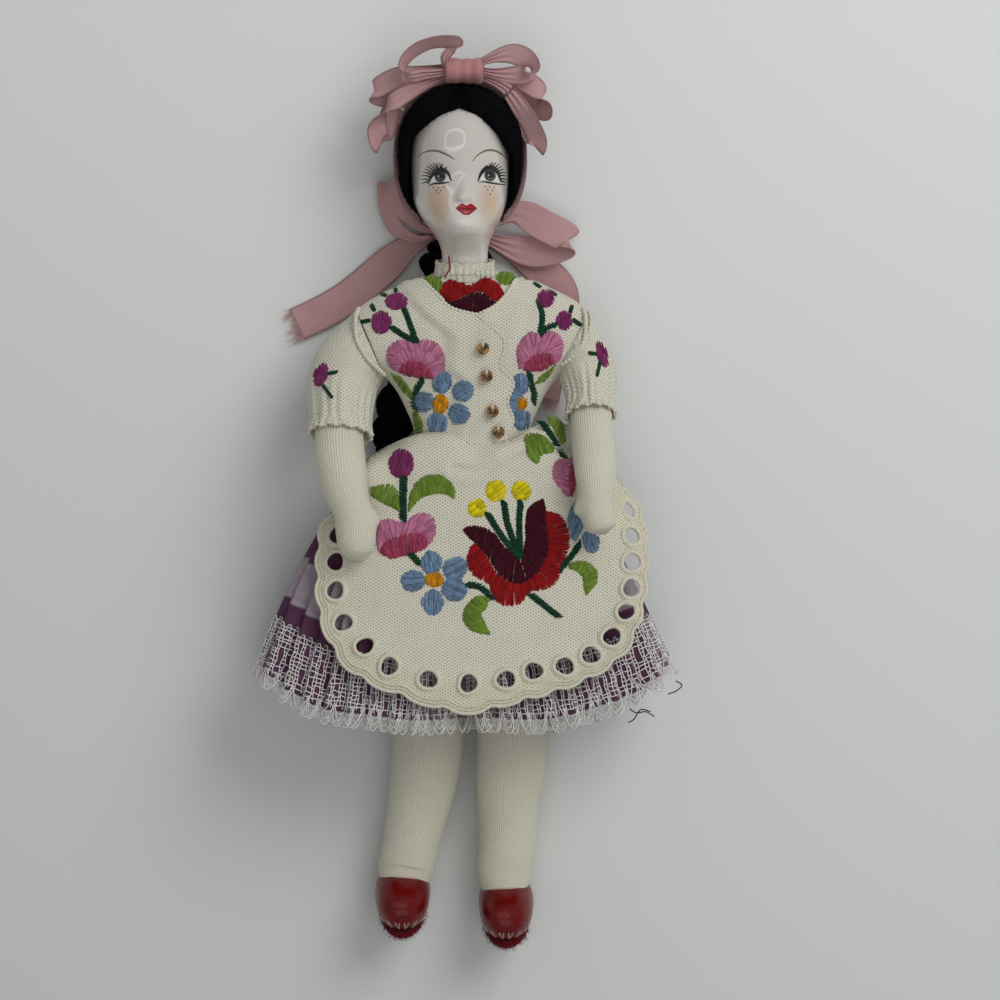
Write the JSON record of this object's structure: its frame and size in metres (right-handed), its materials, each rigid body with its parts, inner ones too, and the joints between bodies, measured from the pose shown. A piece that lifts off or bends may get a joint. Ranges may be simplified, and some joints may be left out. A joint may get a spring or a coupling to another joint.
{
  "type": "folk doll",
  "caption": "Stuffed cloth folk doll with a porcelain head, black plait, pink bow, embroidered jacket and apron, pleated skirt and hinged arms and legs, lying on its back.",
  "frame": {"origin": "on the resting surface, under the middle of the doll's outline", "axes": "+Z is the doll's front, +Y points to its head, +X is the doll's left"},
  "size_m": [0.099, 0.2102, 0.0414],
  "materials": {
    "porcelain": "glossy white glaze with a painted face",
    "hair": "matt black combed fibre",
    "ribbon": "sheer ribbed dusty pink",
    "knit": "cream openwork cloth with wool embroidery",
    "blouse": "pale ribbed cotton with red and green embroidery",
    "stocking": "ribbed cream stocking knit over stuffing",
    "skirt_cloth": "checked violet and lavender cotton",
    "lace": "white net lace with a looped edge",
    "leather": "glossy dark red",
    "felt": "fuzzy red felt",
    "bead_glass": "amber glass with a bronze lining"
  },
  "bodies": {
    "root": {"head": "porcelain", "hair_cap": "hair", "hair_plait": "hair", "plait_tie": "ribbon", "head_ribbon": "ribbon", "bow_knot": "ribbon", "bow_loop_right_1": "ribbon", "bow_loop_right_2": "ribbon", "bow_loop_right_3": "ribbon", "bow_loop_left_1": "ribbon", "bow_loop_left_2": "ribbon", "bow_loop_left_3": "ribbon", "nape_knot": "ribbon", "nape_loop_right": "ribbon", "nape_loop_left": "ribbon", "nape_tail_right": "ribbon", "nape_tail_left": "ribbon", "torso": "stocking", "neck_tie": "stocking", "blouse_insert": "blouse", "jacket_back": "knit", "jacket_front_left": "knit", "jacket_front_right": "knit", "bead_1": "bead_glass", "bead_2": "bead_glass", "bead_3": "bead_glass", "bead_4": "bead_glass", "waistband": "knit", "skirt": "skirt_cloth", "skirt_lace": "lace", "apron": "knit"},
    "right_arm": {"arm_right": "stocking", "sleeve_right": "knit"},
    "left_arm": {"arm_left": "stocking", "sleeve_left": "knit"},
    "right_leg": {"leg_right": "stocking", "shoe_right": "leather", "sole_right": "felt"},
    "left_leg": {"leg_left": "stocking", "shoe_left": "leather", "sole_left": "felt"}
  },
  "joints": [
    {"name": "right_arm_lift", "type": "hinge", "parent": "root", "child": "right_arm", "pos_m": [-0.0222, 0.0343, 0.018], "axis": [-0.9205, -0.3907, 0], "range_deg": [0, 120]},
    {"name": "left_arm_lift", "type": "hinge", "parent": "root", "child": "left_arm", "pos_m": [0.0245, 0.0343, 0.018], "axis": [-0.9205, 0.3907, 0], "range_deg": [0, 120]},
    {"name": "right_leg_lift", "type": "hinge", "parent": "root", "child": "right_leg", "pos_m": [-0.0083, -0.001, 0.015], "axis": [-1, 0, 0], "range_deg": [0, 15]},
    {"name": "left_leg_lift", "type": "hinge", "parent": "root", "child": "left_leg", "pos_m": [0.0089, -0.001, 0.015], "axis": [-1, 0, 0], "range_deg": [0, 15]}
  ]
}
